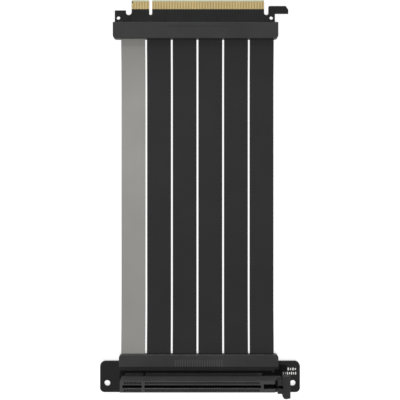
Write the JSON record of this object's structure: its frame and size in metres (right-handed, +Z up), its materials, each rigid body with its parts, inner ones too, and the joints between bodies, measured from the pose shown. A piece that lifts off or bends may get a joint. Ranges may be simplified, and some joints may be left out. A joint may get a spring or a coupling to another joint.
{
  "type": "pcie extension cable",
  "caption": "Flat riser cable: an edge-finger plug board, side-by-side ribbons in slim end shells, and a board with a standing card slot and its retention latch.",
  "frame": {"origin": "on the surface that the part lies on, under the middle of its bounding box", "axes": "+X along the card slot towards its latch, +Y from the slot board to the plug board, +Z up, the way a card leaves the slot"},
  "size_m": [0.127, 0.249, 0.0163],
  "materials": {
    "board": "black solder mask over glass epoxy, satin",
    "finger_gold": "gold plated, bright",
    "shell": "fine matt texture",
    "ribbon_grey": "satin jacket",
    "ribbon_black": "satin jacket",
    "wire": "silver-plated copper, bare ends",
    "housing": "glass-filled moulding, satin",
    "contact": "spring bronze with gold at the touch point",
    "latch": "satin moulding",
    "pad": "closed-cell foam"
  },
  "bodies": {
    "cable": {"plug_board": "board", "plug_fingers_upper": "finger_gold", "plug_fingers_lower": "finger_gold", "plug_shell_upper": "shell", "plug_shell_lower": "shell", "plug_wires_upper": "wire", "plug_wires_lower": "wire", "ribbon_upper_1": "ribbon_grey", "ribbon_upper_2": "ribbon_black", "ribbon_upper_3": "ribbon_black", "ribbon_upper_4": "ribbon_black", "ribbon_upper_5": "ribbon_black", "ribbon_upper_6": "ribbon_black", "ribbon_lower_1": "ribbon_grey", "ribbon_lower_2": "ribbon_black", "ribbon_lower_3": "ribbon_black", "ribbon_lower_4": "ribbon_black", "ribbon_lower_5": "ribbon_black", "ribbon_lower_6": "ribbon_black", "slot_wires_upper": "wire", "slot_wires_lower": "wire", "slot_shell_upper": "shell", "slot_shell_lower": "shell", "slot_board": "board", "slot_housing": "housing", "slot_contacts_rear": "contact", "slot_contacts_front": "contact", "insulation_pad": "pad"},
    "latch": {"latch_lever": "latch"}
  },
  "joints": [
    {"name": "latch_pivot", "type": "hinge", "parent": "cable", "child": "latch", "pos_m": [0.0495, -0.11755, 0.0071], "axis": [0, 1, 0], "range_deg": [0, 25]}
  ]
}
